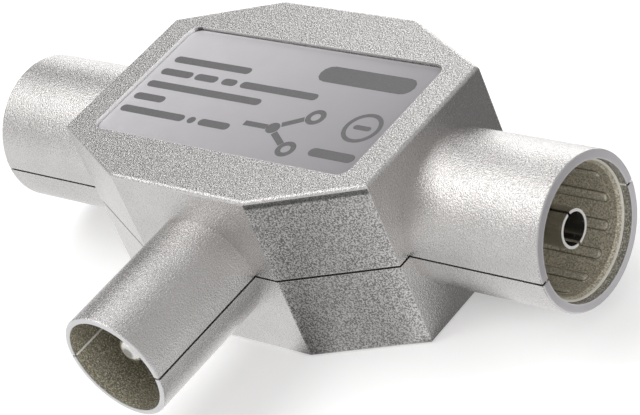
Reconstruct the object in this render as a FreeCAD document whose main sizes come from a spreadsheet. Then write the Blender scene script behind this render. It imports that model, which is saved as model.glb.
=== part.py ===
import FreeCAD, Part

import math
import os

import Sketcher

# A two-way coaxial splitter: one plug in, two sockets out on one line, in a housing of two
# die-cast half shells that meet in a seam through the axes of all three ports.
# Lengths are millimetres. Every piece is drawn from the point where the port axes cross, with
# +X to the right socket, -Y to the plug and +Z to the label, and is then raised by half the
# housing's thickness, so that the origin lies on the base under that point.

DRIVING_SIZES = (
    # Housing
    ("body_length", 32.2),
    ("body_width", 22.9),
    ("body_thickness", 15.5),
    ("corner_cut_length", 9.1),
    ("corner_cut_width", 4.2),
    ("edge_round", 0.35),
    ("shell_wall", 1.5),
    ("port_wall", 3.4),
    ("roof_wall", 1.3),
    ("seam_groove_depth", 0.2),
    ("seam_groove_height", 0.2),
    ("rim_round", 0.15),
    # Ports
    ("socket_reach", 28.55),
    ("socket_wall", 0.72),
    ("plug_reach", 23.3),
    ("plug_outer_radius", 4.76),
    ("plug_wall", 0.46),
    # Pegs that line up the shells
    ("pillar_radius", 1.7),
    ("pillar_inset", 1.3),
    ("peg_radius", 0.8),
    ("peg_length", 1.5),
    ("peg_hole_spare", 0.3),
    # Running clearance of every round fit
    ("fit_clearance", 0.03),
    # Label plate in its recess
    ("recess_length", 27.0),
    ("recess_width", 13.5),
    ("recess_corner", 1.1),
    ("recess_depth", 0.5),
    ("label_thickness", 0.2),
    ("label_gap", 0.1),
    # Insulators
    ("flange_lip", 1.0),
    ("flange_thickness", 1.3),
    ("flange_height", 0.8),
    ("throat_step", 0.6),
    ("hub_length", 1.9),
    ("rear_boss_length", 1.5),
    ("rear_boss_radius", 2.2),
    ("front_ring_depth", 0.9),
    ("front_ring_inner", 2.3),
    ("front_ring_wall", 0.9),
    # Contact sleeves in the sockets
    ("sleeve_setback", 0.65),
    ("sleeve_wall", 0.34),
    ("plug_entry_clearance", 0.02),
    ("sleeve_edge_round", 0.05),
    ("lead_in_length", 0.45),
    ("lead_in_rise", 0.2),
    ("bead_count", 14),
    ("bead_width", 1.0),
    ("bead_height", 0.2),
    ("bead_front_inset", 0.81),
    ("bead_rear_inset", 2.49),
    ("dent_width", 0.34),
    ("dent_depth", 0.16),
    # Centre contacts of the sockets
    ("contact_setback", 1.29),
    ("pin_entry_clearance", 0.115),
    ("contact_wall", 0.22),
    ("contact_floor", 1.26),
    ("contact_slot_width", 0.24),
    ("contact_slot_start", 2.5),
    # Centre pin of the plug
    ("pin_setback", 1.6),
    ("pin_radius", 1.175),
    ("pin_nose_round", 0.75),
    # Stems through the insulators, and their solder tails
    ("stem_radius", 0.95),
    ("tail_radius", 0.5),
    ("tail_length", 4.4),
    ("plug_tail_length", 2.7),
    # Circuit board on its posts
    ("board_side_gap", 3.5),
    ("board_front_gap", 0.9),
    ("board_back_gap", 1.9),
    ("board_thickness", 1.0),
    ("track_thickness", 0.07),
    ("post_radius", 1.3),
    ("post_inset", 1.6),
    ("spigot_radius", 0.6),
    ("spigot_proud", 0.9),
    ("pad_length", 2.4),
    ("pad_width", 1.8),
    ("pad_edge", 0.3),
    # Two-hole core and its winding
    ("match_core_length", 5.6),
    ("match_core_width", 3.6),
    ("match_core_height", 3.4),
    ("match_hole_radius", 0.85),
    ("match_hole_spacing", 2.7),
    ("match_core_gap", 2.9),
    # Ring core and its two windings
    ("ring_outer_radius", 2.5),
    ("ring_bore_radius", 1.4),
    ("ring_height", 2.2),
    ("ring_lift", 0.45),
    ("ring_gap", 4.5),
    ("wire_radius", 0.12),
    ("wire_spacing", 0.1),
    # Resistor and capacitor
    ("resistor_radius", 0.75),
    ("resistor_length", 3.6),
    ("resistor_span", 6.4),
    ("resistor_inset", 1.0),
    ("lead_radius", 0.25),
    ("lead_hole_clearance", 0.05),
    ("lead_proud", 0.8),
    ("capacitor_radius", 1.6),
    ("capacitor_thickness", 1.1),
    ("capacitor_lift", 0.6),
    ("capacitor_pitch", 2.0),
    ("capacitor_inset", 4.5),
    ("capacitor_gap", 3.75),
    # Solder
    ("solder_length", 1.9),
    ("solder_width", 1.6),
    ("solder_height", 1.05),
)

Vector = FreeCAD.Vector
doc = FreeCAD.newDocument("coaxial_splitter")
sizes = doc.addObject("Spreadsheet::Sheet", "sizes")


def fill_sheet():
    for row, (alias, value) in enumerate(DRIVING_SIZES, start=1):
        sizes.set(f"A{row}", alias.replace("_", " "))
        sizes.set(f"B{row}", str(value))
        sizes.setAlias(f"B{row}", alias)
    doc.recompute()


fill_sheet()


def value_of(expression):
    return float(sizes.evalExpression(expression))


# Places worked out from the driving sizes, as expressions
HALF_LENGTH = "sizes.body_length / 2"
HALF_WIDTH = "sizes.body_width / 2"
SEAM_HEIGHT = "sizes.body_thickness / 2"
CAVITY_X = f"({HALF_LENGTH} - sizes.port_wall)"
CAVITY_FRONT = f"({HALF_WIDTH} - sizes.port_wall)"
CAVITY_BACK = f"({HALF_WIDTH} - sizes.shell_wall)"
ROOF = f"({SEAM_HEIGHT} - sizes.recess_depth - sizes.roof_wall)"
FLOOR_DEPTH = f"({SEAM_HEIGHT} - sizes.shell_wall)"
CUT_SLOPE = "sizes.corner_cut_width / sizes.corner_cut_length"
CUT_START = f"({HALF_WIDTH} - sizes.corner_cut_width)"

FLANGE_DEPTH = "(sizes.flange_lip + sizes.flange_thickness)"
# Radii of the ports, built outwards from the plug and the pin that the sockets take
PLUG_BORE = "(sizes.plug_outer_radius - sizes.plug_wall)"
SLEEVE_BORE = "(sizes.plug_outer_radius + sizes.plug_entry_clearance + sizes.bead_height)"
SLEEVE_BACK = f"({SLEEVE_BORE} + sizes.sleeve_wall)"
SOCKET_BORE = f"({SLEEVE_BACK} + sizes.fit_clearance)"
SOCKET_OUTSIDE = f"({SOCKET_BORE} + sizes.socket_wall)"
CONTACT_BORE = "(sizes.pin_radius + sizes.pin_entry_clearance)"
CONTACT_OUTSIDE = f"({CONTACT_BORE} + sizes.contact_wall)"

SOCKET_THROAT = f"({SOCKET_BORE} - sizes.throat_step)"
PLUG_THROAT = f"({PLUG_BORE} - sizes.throat_step)"
SOCKET_HUB_FRONT = f"({HALF_LENGTH} - sizes.flange_lip + sizes.hub_length)"
PLUG_HUB_FRONT = f"({HALF_WIDTH} - sizes.flange_lip + sizes.hub_length)"
SOCKET_BOSS_REAR = f"({HALF_LENGTH} - {FLANGE_DEPTH} - sizes.rear_boss_length)"
PLUG_BOSS_REAR = f"({HALF_WIDTH} - {FLANGE_DEPTH} - sizes.rear_boss_length)"

PAD_TOP = "(-sizes.tail_radius)"
BOARD_TOP = f"({PAD_TOP} - sizes.track_thickness)"
BOARD_BOTTOM = f"({BOARD_TOP} - sizes.board_thickness)"
BOARD_HALF_LENGTH = f"({CAVITY_X} - sizes.board_side_gap)"
BOARD_FRONT = f"({CAVITY_FRONT} - sizes.board_front_gap)"
BOARD_BACK = f"({CAVITY_BACK} - sizes.board_back_gap)"
POST_X = f"({BOARD_HALF_LENGTH} - sizes.post_inset)"
POST_FRONT = f"(-{BOARD_FRONT} + sizes.post_inset)"
POST_BACK = f"({BOARD_BACK} - sizes.post_inset)"
SPIGOT_HOLE = "(sizes.spigot_radius + sizes.lead_hole_clearance)"
LEAD_HOLE = "(sizes.lead_radius + sizes.lead_hole_clearance)"
RESISTOR_Y = f"({BOARD_BACK} - sizes.resistor_inset)"
CAPACITOR_X = f"(-{BOARD_HALF_LENGTH} + sizes.capacitor_inset)"
CAPACITOR_Y = f"(-{BOARD_FRONT} + sizes.capacitor_gap)"
MATCH_CORE_Y = f"(-{BOARD_FRONT} + sizes.match_core_gap + sizes.match_core_width / 2)"
MATCH_HOLE_Z = f"({BOARD_TOP} + sizes.match_core_height / 2)"
RING_Y = f"({BOARD_BACK} - sizes.ring_gap)"


def below(expression):
    return f"-({expression})"


def slanted(wall):
    """A wall's thickness measured across the body where the wall follows a cut corner."""
    return f"({wall} * sqrt(1 + ({CUT_SLOPE}) ^ 2))"


def inner_cut_y(x, wall="sizes.shell_wall"):
    """Where the inside of the slanted wall is, across the body, at the distance x along it."""
    return f"({CUT_START} + ({HALF_LENGTH} - {x}) * {CUT_SLOPE} - {slanted(wall)})"


def inner_cut_x(y, wall="sizes.shell_wall"):
    return f"({HALF_LENGTH} - ({y} - {CUT_START} + {slanted(wall)}) / ({CUT_SLOPE}))"


PILLAR_X = f"({CAVITY_X} - sizes.pillar_inset)"
PILLAR_Y = f"({inner_cut_y(PILLAR_X)} - sizes.pillar_inset)"


def new_body(label, turn=0):
    """A body raised to the seam, turned about the vertical for the left one of a pair."""
    body = doc.addObject("PartDesign::Body", label)
    body.Label = label
    body.Placement = FreeCAD.Placement(Vector(), FreeCAD.Rotation(Vector(0, 0, 1), turn))
    body.setExpression("Placement.Base.z", SEAM_HEIGHT)
    return body


def new_sketch(body, name, plane="XY_Plane", lift=None):
    sketch = body.newObject("Sketcher::SketchObject", name)
    origin_plane = next(part for part in body.Origin.OriginFeatures if part.Role == plane)
    sketch.AttachmentSupport = [(origin_plane, "")]
    sketch.MapMode = "FlatFace"
    if lift is not None:
        sketch.setExpression("AttachmentOffset.Base.z", lift)
    return sketch


def tie(sketch, kind, geometry, expression):
    """Hold one size of the sketch to an expression."""
    index = sketch.addConstraint(Sketcher.Constraint(kind, *geometry, value_of(expression)))
    sketch.setExpression(f"Constraints[{index}]", expression)


def outline(sketch, corners):
    """A closed outline of straight lines, each corner held to its pair of expressions."""
    first = sketch.GeometryCount
    points = [Vector(value_of(x), value_of(y), 0) for x, y in corners]
    for start, end in zip(points, points[1:] + points[:1]):
        sketch.addGeometry(Part.LineSegment(start, end), False)
    for number, (x, y) in enumerate(corners):
        line = first + number
        following = first + (number + 1) % len(corners)
        sketch.addConstraint(Sketcher.Constraint("Coincident", line, 2, following, 1))
        tie(sketch, "DistanceX", (-1, 1, line, 1), x)
        tie(sketch, "DistanceY", (-1, 1, line, 1), y)
    return sketch


def circles(sketch, centres, radius):
    for x, y in centres:
        centre = Vector(value_of(x), value_of(y), 0)
        circle = sketch.addGeometry(Part.Circle(centre, Vector(0, 0, 1), value_of(radius)), False)
        tie(sketch, "DistanceX", (-1, 1, circle, 3), x)
        tie(sketch, "DistanceY", (-1, 1, circle, 3), y)
        tie(sketch, "Radius", (circle,), radius)
    return sketch


def feature(body, kind, name, profile, **settings):
    made = body.newObject(f"PartDesign::{kind}", name)
    made.Profile = profile
    for setting, value in settings.items():
        if isinstance(value, str):
            made.setExpression(setting, value)
        else:
            setattr(made, setting, value)
    doc.recompute()
    return made


def turned(body, kind, name, profile, axis, angle=360, reverse=False):
    """A profile turned about the sketch's own X or Y axis, added or cut away."""
    return feature(body, kind, name, profile, ReferenceAxis=(profile, [f"{axis}_Axis"]),
                   Angle=angle, Reversed=reverse)


def edges_where(shape, test):
    return [f"Edge{number}" for number, edge in enumerate(shape.Edges, start=1) if test(edge)]


def dress(body, kind, name, base, test, size_name, expression):
    """A fillet or chamfer on the edges of the base that pass the test."""
    edges = edges_where(base.Shape, test)
    if not edges:
        raise RuntimeError(f"{name} found no edge to dress")
    made = body.newObject(f"PartDesign::{kind}", name)
    made.Base = (base, edges)
    made.setExpression(size_name, expression)
    doc.recompute()
    return made


def lies_at(edge, axis, place, tolerance=1e-4):
    """True where the whole edge lies at one height, or at one place along X or Y."""
    low, high = {"x": ("XMin", "XMax"), "y": ("YMin", "YMax"), "z": ("ZMin", "ZMax")}[axis]
    box = edge.BoundBox
    return abs(getattr(box, low) - place) < tolerance and abs(getattr(box, high) - place) < tolerance


def four_corners(x, front, back):
    return [(below(x), front), (x, front), (x, back), (below(x), back)]


def body_octagon():
    cut = "sizes.corner_cut_length"
    quarter = [(HALF_LENGTH, CUT_START), (f"{HALF_LENGTH} - {cut}", HALF_WIDTH)]
    back = quarter + [(below(x), y) for x, y in reversed(quarter)]
    return back + [(below(x), below(y)) for x, y in back]


def cavity_octagon():
    side = inner_cut_y(CAVITY_X)
    right_back = [(CAVITY_X, side), (inner_cut_x(CAVITY_BACK), CAVITY_BACK)]
    left_back = [(below(x), y) for x, y in reversed(right_back)]
    left_front = [(below(CAVITY_X), below(side)), (below(inner_cut_x(CAVITY_FRONT)), below(CAVITY_FRONT))]
    right_front = [(inner_cut_x(CAVITY_FRONT), below(CAVITY_FRONT)), (CAVITY_X, below(side))]
    return right_back + left_back + left_front + right_front


def seam_outline(inset):
    """The outline of body and port tubes in the seam, all of it moved inwards by the inset."""
    side = f"({HALF_LENGTH} - {inset})"
    end = f"({HALF_WIDTH} - {inset})"
    tube = f"({SOCKET_OUTSIDE} - {inset})"
    mouth = f"(sizes.socket_reach - {inset})"
    plug = f"(sizes.plug_outer_radius - {inset})"
    plug_end = f"(sizes.plug_reach - {inset})"
    right_back = [(mouth, tube), (side, tube), (side, inner_cut_y(side, inset)),
                  (inner_cut_x(end, inset), end)]
    left_back = [(below(x), y) for x, y in reversed(right_back)]
    left_front = [(x, below(y)) for x, y in reversed(left_back)]
    plug_sides = [(below(plug), below(end)), (below(plug), below(plug_end)), (plug, below(plug_end)),
                  (plug, below(end))]
    right_front = [(x, below(y)) for x, y in reversed(right_back)]
    return right_back + left_back + left_front + plug_sides + right_front


def port_bore(face, bore, throat, cavity, reach):
    """Half section of a port: distance from the centre and radius, from the cavity to the mouth."""
    flange_front = f"{face} - sizes.flange_lip"
    flange_rear = f"{face} - {FLANGE_DEPTH}"
    flange = f"{bore} + sizes.flange_height + sizes.fit_clearance"
    inside = f"{cavity} - sizes.shell_wall / 2"
    outside = f"{reach} + sizes.shell_wall"
    return [(inside, "0"), (inside, throat), (flange_rear, throat), (flange_rear, flange),
            (flange_front, flange), (flange_front, bore), (outside, bore), (outside, "0")]


def half_shell(label, upper):
    """One casting: half the octagonal body with the halves of its three port tubes."""
    down = not upper
    body = new_body(label)
    seam_outline = outline(new_sketch(body, f"{label}_outline"), body_octagon())
    block = feature(body, "Pad", f"{label}_block", seam_outline, Length=SEAM_HEIGHT, Reversed=down)
    face = value_of(SEAM_HEIGHT) * (1 if upper else -1)
    dress(body, "Fillet", f"{label}_edge", block, lambda edge: lies_at(edge, "z", face),
          "Radius", "sizes.edge_round")

    reach = "sizes.socket_reach"
    socket_tube = [(below(reach), "0"), (below(reach), SOCKET_OUTSIDE), (reach, SOCKET_OUTSIDE),
                   (reach, "0")]
    profile = outline(new_sketch(body, f"{label}_socket_tube_section"), socket_tube)
    turned(body, "Revolution", f"{label}_socket_tubes", profile, "H", 180, reverse=down)
    plug_tube = [("0", "0"), ("sizes.plug_outer_radius", "0"),
                 ("sizes.plug_outer_radius", below("sizes.plug_reach")), ("0", below("sizes.plug_reach"))]
    profile = outline(new_sketch(body, f"{label}_plug_tube_section"), plug_tube)
    turned(body, "Revolution", f"{label}_plug_tube", profile, "V", 180, reverse=upper)

    cavity_depth = ROOF if upper else FLOOR_DEPTH
    profile = outline(new_sketch(body, f"{label}_cavity_outline"), cavity_octagon())
    feature(body, "Pocket", f"{label}_cavity", profile, Length=cavity_depth, Reversed=upper)
    pillars = [(f"{sx}({PILLAR_X})", f"{sy}({PILLAR_Y})") for sx in ("", "-") for sy in ("", "-")]
    profile = circles(new_sketch(body, f"{label}_pillar_centres"), pillars, "sizes.pillar_radius")
    feature(body, "Pad", f"{label}_pillars", profile, Length=cavity_depth, Reversed=down)

    right = port_bore(HALF_LENGTH, SOCKET_BORE, SOCKET_THROAT, CAVITY_X, reach)
    left = [(below(x), radius) for x, radius in right]
    front = port_bore(HALF_WIDTH, PLUG_BORE, PLUG_THROAT, CAVITY_FRONT, "sizes.plug_reach")
    plug = [(radius, below(y)) for y, radius in front]
    for name, section, axis in (("right_socket", right, "H"), ("left_socket", left, "H"),
                                ("plug", plug, "V")):
        profile = outline(new_sketch(body, f"{label}_{name}_section"), section)
        turned(body, "Groove", f"{label}_{name}_bore", profile, axis)
    return body, pillars


def post_places():
    return four_corners(POST_X, POST_FRONT, POST_BACK)


def is_ring(edge, radius):
    return isinstance(edge.Curve, Part.Circle) and abs(edge.Curve.Radius - radius) < 1e-4


def soften_outside(body, label, upper):
    """Softened mouth rims, and half of the fine groove that runs along the seam."""
    reach = value_of("sizes.socket_reach")
    plug_end = -value_of("sizes.plug_reach")
    socket_radius = value_of(SOCKET_OUTSIDE)
    plug_radius = value_of("sizes.plug_outer_radius")

    def is_rim(edge):
        at_socket = lies_at(edge, "x", reach) or lies_at(edge, "x", -reach)
        at_plug = lies_at(edge, "y", plug_end)
        return (at_socket and is_ring(edge, socket_radius)) or (at_plug and is_ring(edge, plug_radius))

    dress(body, "Fillet", f"{label}_rims", body.Tip, is_rim, "Radius", "sizes.rim_round")
    sketch = outline(new_sketch(body, f"{label}_seam_outline"), seam_outline("sizes.seam_groove_depth"))
    around = "2 * sizes.socket_reach"
    outline(sketch, four_corners(around, below(around), around))
    feature(body, "Pocket", f"{label}_seam_groove", sketch, Length="sizes.seam_groove_height / 2",
            Reversed=upper)


def build_upper_shell():
    label = "upper_shell"
    body, pillars = half_shell(label, upper=True)
    profile = circles(new_sketch(body, f"{label}_peg_hole_centres"), pillars,
                      "sizes.peg_radius + sizes.fit_clearance")
    feature(body, "Pocket", f"{label}_peg_holes", profile,
            Length="sizes.peg_length + sizes.peg_hole_spare", Reversed=True)
    # Posts that press on the ground rings of the board, hollow for the spigots
    profile = circles(new_sketch(body, f"{label}_post_centres", lift=PAD_TOP), post_places(),
                      "sizes.post_radius")
    feature(body, "Pad", f"{label}_posts", profile, Length=f"{ROOF} - {PAD_TOP}")
    profile = circles(new_sketch(body, f"{label}_post_hole_centres", lift=PAD_TOP), post_places(),
                      SPIGOT_HOLE)
    feature(body, "Pocket", f"{label}_post_holes", profile,
            Length="sizes.spigot_proud + sizes.peg_hole_spare", Reversed=True)
    # The label's recess
    half_length = "sizes.recess_length / 2"
    half_width = "sizes.recess_width / 2"
    recess = four_corners(half_length, below(half_width), half_width)
    profile = outline(new_sketch(body, f"{label}_recess_outline", lift=SEAM_HEIGHT), recess)
    pocket = feature(body, "Pocket", f"{label}_recess", profile, Length="sizes.recess_depth")

    def is_recess_corner(edge):
        middle = edge.BoundBox.Center
        upright = edge.BoundBox.ZLength > value_of("sizes.recess_depth") * 0.9
        at_corner = (abs(abs(middle.x) - value_of(half_length)) < 0.01
                     and abs(abs(middle.y) - value_of(half_width)) < 0.01)
        return upright and at_corner

    dress(body, "Fillet", f"{label}_recess_corners", pocket, is_recess_corner,
          "Radius", "sizes.recess_corner")
    soften_outside(body, label, upper=True)
    return body


def build_lower_shell():
    label = "lower_shell"
    body, pillars = half_shell(label, upper=False)
    profile = circles(new_sketch(body, f"{label}_peg_centres"), pillars, "sizes.peg_radius")
    feature(body, "Pad", f"{label}_pegs", profile, Length="sizes.peg_length")
    # Posts that carry the board, each with a spigot through it
    profile = circles(new_sketch(body, f"{label}_post_centres", lift=BOARD_BOTTOM), post_places(),
                      "sizes.post_radius")
    feature(body, "Pad", f"{label}_posts", profile, Length=f"{FLOOR_DEPTH} + {BOARD_BOTTOM}", Reversed=True)
    profile = circles(new_sketch(body, f"{label}_spigot_centres", lift=BOARD_BOTTOM), post_places(),
                      "sizes.spigot_radius")
    feature(body, "Pad", f"{label}_spigots", profile,
            Length="sizes.board_thickness + sizes.track_thickness + sizes.spigot_proud")
    soften_outside(body, label, upper=False)
    return body


def build_label_plate():
    body = new_body("label_plate")
    half_length = "(sizes.recess_length / 2 - sizes.label_gap)"
    half_width = "(sizes.recess_width / 2 - sizes.label_gap)"
    lift = f"{SEAM_HEIGHT} - sizes.recess_depth"
    profile = outline(new_sketch(body, "label_outline", lift=lift),
                      four_corners(half_length, below(half_width), half_width))
    plate = feature(body, "Pad", "label_blank", profile, Length="sizes.label_thickness")
    dress(body, "Fillet", "label_corners", plate,
          lambda edge: edge.BoundBox.ZLength > value_of("sizes.label_thickness") / 2,
          "Radius", "sizes.recess_corner - sizes.label_gap")
    return body


HALF_PITCH = "(180 deg / sizes.bead_count)"


def tilt_about_x(sketch, angle):
    sketch.AttachmentOffset = FreeCAD.Placement(Vector(), FreeCAD.Rotation(Vector(1, 0, 0), 0))
    sketch.setExpression("AttachmentOffset.Rotation.Angle", angle)


def repeat_round_axis(body, name, original):
    """One copy for each bead, evenly round the port's axis."""
    pattern = body.newObject("PartDesign::PolarPattern", name)
    pattern.Originals = [original]
    pattern.Axis = (next(part for part in body.Origin.OriginFeatures if part.Role == "X_Axis"), [""])
    pattern.Angle = 360
    pattern.setExpression("Occurrences", "sizes.bead_count")
    body.Tip = pattern
    doc.recompute()
    return pattern


def build_contact_sleeve(label, turn):
    """A thin spring sleeve with pressed-in beads that grip the mating plug."""
    body = new_body(label, turn)
    rear = SOCKET_HUB_FRONT
    front = "(sizes.socket_reach - sizes.sleeve_setback)"
    lead_in = f"{SLEEVE_BORE} + sizes.lead_in_rise"
    profile = outline(new_sketch(body, f"{label}_section"),
                      [(rear, SLEEVE_BORE), (f"{front} - sizes.lead_in_length", SLEEVE_BORE),
                       (front, lead_in), (front, SLEEVE_BACK), (rear, SLEEVE_BACK)])
    ring = turned(body, "Revolution", f"{label}_ring", profile, "H")
    front_place = value_of(front)
    dress(body, "Fillet", f"{label}_front_edges", ring, lambda edge: lies_at(edge, "x", front_place),
          "Radius", "sizes.sleeve_edge_round")

    # One bead is a round-ended rod let into the wall, as high as its arc stands above the bore
    bead_radius = "((sizes.bead_width / 2) ^ 2 + sizes.bead_height ^ 2) / (2 * sizes.bead_height)"
    centre = f"{SLEEVE_BORE} - sizes.bead_height + {bead_radius}"
    tip = f"{front} - sizes.bead_front_inset"
    tail = f"{rear} + sizes.bead_rear_inset"
    sketch = new_sketch(body, f"{label}_bead_section")
    tilt_about_x(sketch, HALF_PITCH)
    radius = value_of(bead_radius)
    axis_y = value_of(centre)
    left, right = value_of(tail) + radius, value_of(tip) - radius
    ends = Vector(left - radius, axis_y, 0), Vector(right + radius, axis_y, 0)
    sketch.addGeometry(Part.LineSegment(*ends), False)
    crown = axis_y - radius
    sketch.addGeometry(Part.ArcOfCircle(Part.Circle(Vector(right, axis_y, 0), Vector(0, 0, 1), radius),
                                        -math.pi / 2, 0), False)
    sketch.addGeometry(Part.LineSegment(Vector(right, crown, 0), Vector(left, crown, 0)), False)
    sketch.addGeometry(Part.ArcOfCircle(Part.Circle(Vector(left, axis_y, 0), Vector(0, 0, 1), radius),
                                        math.pi, 3 * math.pi / 2), False)
    axis_line, front_arc, crown_line, rear_arc = range(4)
    for pair in ((axis_line, 2, front_arc, 2), (front_arc, 1, crown_line, 1),
                 (crown_line, 2, rear_arc, 2), (rear_arc, 1, axis_line, 1)):
        sketch.addConstraint(Sketcher.Constraint("Coincident", *pair))
    for arc, arc_x, line_end, crown_end in ((front_arc, f"{tip} - {bead_radius}", 2, 1),
                                            (rear_arc, f"{tail} + {bead_radius}", 1, 2)):
        tie(sketch, "Radius", (arc,), bead_radius)
        tie(sketch, "DistanceX", (-1, 1, arc, 3), arc_x)
        tie(sketch, "DistanceY", (-1, 1, arc, 3), centre)
        tie(sketch, "DistanceY", (-1, 1, axis_line, line_end), centre)
        tie(sketch, "DistanceX", (-1, 1, crown_line, crown_end), arc_x)
    doc.recompute()
    bead = feature(body, "Revolution", f"{label}_bead", sketch, ReferenceAxis=(sketch, ["Edge1"]),
                   Angle=360)
    repeat_round_axis(body, f"{label}_beads", bead)
    # What stands out of the sleeve's back is trimmed flush
    trimmed = f"{SLEEVE_BACK} + 2 * {bead_radius}"
    profile = outline(new_sketch(body, f"{label}_trim_section"),
                      [(rear, SLEEVE_BACK), (front, SLEEVE_BACK), (front, trimmed), (rear, trimmed)])
    turned(body, "Groove", f"{label}_trim", profile, "H")
    # The dents that the press leaves behind the beads
    sketch = new_sketch(body, f"{label}_dent_outline")
    tilt_about_x(sketch, f"{HALF_PITCH} - 90 deg")
    dent_floor = f"({SLEEVE_BACK} - sizes.dent_depth)"
    sketch.setExpression("AttachmentOffset.Base.y", f"{dent_floor} * cos({HALF_PITCH})")
    sketch.setExpression("AttachmentOffset.Base.z", f"{dent_floor} * sin({HALF_PITCH})")
    half_dent = "sizes.dent_width / 2"
    dent_start = f"{tail} + {bead_radius}"
    dent_end = f"{tip} - {bead_radius}"
    outline(sketch, [(dent_start, below(half_dent)), (dent_end, below(half_dent)),
                     (dent_end, half_dent), (dent_start, half_dent)])
    dent = feature(body, "Pocket", f"{label}_dent", sketch, Length="2 * sizes.dent_depth", Reversed=True)
    repeat_round_axis(body, f"{label}_dents", dent)
    return body


def build_centre_contact(label, turn):
    """A turned contact: a split tube to the mouth, a stem through the insulator, a solder tail."""
    body = new_body(label, turn)
    front = "(sizes.socket_reach - sizes.contact_setback)"
    tail_end = f"{SOCKET_BOSS_REAR} - sizes.tail_length"
    bore_end = f"{SOCKET_HUB_FRONT} + sizes.contact_floor"
    section = [(front, CONTACT_BORE), (front, CONTACT_OUTSIDE), (SOCKET_HUB_FRONT, CONTACT_OUTSIDE),
               (SOCKET_HUB_FRONT, "sizes.stem_radius"),
               (SOCKET_BOSS_REAR, "sizes.stem_radius"), (SOCKET_BOSS_REAR, "sizes.tail_radius"),
               (tail_end, "sizes.tail_radius"), (tail_end, "0"), (bore_end, "0"),
               (bore_end, CONTACT_BORE)]
    profile = outline(new_sketch(body, f"{label}_section"), section)
    turned(body, "Revolution", f"{label}_turning", profile, "H")
    slot_end = f"{bore_end} + sizes.contact_slot_start"
    slot = [(slot_end, below("sizes.contact_slot_width / 2")),
            (f"{front} + sizes.contact_setback", below("sizes.contact_slot_width / 2")),
            (f"{front} + sizes.contact_setback", "sizes.contact_slot_width / 2"),
            (slot_end, "sizes.contact_slot_width / 2")]
    profile = outline(new_sketch(body, f"{label}_slot_outline"), slot)
    feature(body, "Pocket", f"{label}_slot", profile, Length=f"4 * {CONTACT_OUTSIDE}",
            Midplane=True)
    return body


def insulator_section(face, bore, throat, hub_front, boss_rear):
    """Half section of a moulded insulator: rear boss, flange, and hub with a ring-shaped hollow."""
    hole = "(sizes.stem_radius + sizes.fit_clearance)"
    hub = f"({bore} - sizes.fit_clearance)"
    flange = f"({bore} + sizes.flange_height)"
    flange_front = f"{face} - sizes.flange_lip"
    flange_rear = f"{face} - {FLANGE_DEPTH}"
    hollow = f"{hub_front} - sizes.front_ring_depth"
    ring = f"{hub} - sizes.front_ring_wall"
    return [(boss_rear, hole), (boss_rear, "sizes.rear_boss_radius"),
            (flange_rear, "sizes.rear_boss_radius"), (flange_rear, flange), (flange_front, flange),
            (flange_front, hub), (hub_front, hub), (hub_front, ring), (hollow, ring),
            (hollow, "sizes.front_ring_inner"), (hub_front, "sizes.front_ring_inner"),
            (hub_front, hole)]


def build_socket_insulator(label, turn):
    body = new_body(label, turn)
    section = insulator_section(HALF_LENGTH, SOCKET_BORE, SOCKET_THROAT,
                                SOCKET_HUB_FRONT, SOCKET_BOSS_REAR)
    profile = outline(new_sketch(body, f"{label}_section"), section)
    turned(body, "Revolution", f"{label}_moulding", profile, "H")
    return body


def build_plug_insulator():
    body = new_body("plug_insulator")
    section = insulator_section(HALF_WIDTH, PLUG_BORE, PLUG_THROAT,
                                PLUG_HUB_FRONT, PLUG_BOSS_REAR)
    profile = outline(new_sketch(body, "plug_insulator_section"),
                      [(radius, below(y)) for y, radius in section])
    turned(body, "Revolution", "plug_insulator_moulding", profile, "V")
    return body


def build_plug_pin():
    body = new_body("plug_pin")
    tip = "(sizes.plug_reach - sizes.pin_setback)"
    tail_end = f"{PLUG_BOSS_REAR} - sizes.plug_tail_length"
    section = [(tip, "0"), (tip, "sizes.pin_radius"), (PLUG_HUB_FRONT, "sizes.pin_radius"),
               (PLUG_HUB_FRONT, "sizes.stem_radius"), (PLUG_BOSS_REAR, "sizes.stem_radius"),
               (PLUG_BOSS_REAR, "sizes.tail_radius"), (tail_end, "sizes.tail_radius"), (tail_end, "0")]
    profile = outline(new_sketch(body, "plug_pin_section"),
                      [(radius, below(y)) for y, radius in section])
    pin = turned(body, "Revolution", "plug_pin_turning", profile, "V")
    tip_place = -value_of(tip)
    dress(body, "Fillet", "plug_pin_nose", pin, lambda edge: lies_at(edge, "y", tip_place),
          "Radius", "sizes.pin_nose_round")
    return body


def resistor_lead_places():
    return [("sizes.resistor_span / 2", RESISTOR_Y), ("-sizes.resistor_span / 2", RESISTOR_Y)]


def capacitor_lead_places():
    return [(f"{CAPACITOR_X} + sizes.capacitor_pitch / 2", CAPACITOR_Y),
            (f"{CAPACITOR_X} - sizes.capacitor_pitch / 2", CAPACITOR_Y)]


def build_circuit_board():
    body = new_body("circuit_board")
    profile = outline(new_sketch(body, "board_outline", lift=BOARD_TOP),
                      four_corners(BOARD_HALF_LENGTH, below(BOARD_FRONT), BOARD_BACK))
    feature(body, "Pad", "board_blank", profile, Length="sizes.board_thickness", Reversed=True)
    profile = circles(new_sketch(body, "board_post_holes", lift=BOARD_TOP), post_places(), SPIGOT_HOLE)
    feature(body, "Pocket", "board_spigot_holes", profile, Length="sizes.board_thickness")
    profile = circles(new_sketch(body, "board_lead_centres", lift=BOARD_TOP),
                      resistor_lead_places() + capacitor_lead_places(), LEAD_HOLE)
    feature(body, "Pocket", "board_lead_holes", profile, Length="sizes.board_thickness")
    return body


def place(made, x="0", y="0", z="0"):
    for axis, expression in (("x", x), ("y", y), ("z", z)):
        made.setExpression(f"Placement.Base.{axis}", expression)


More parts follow.
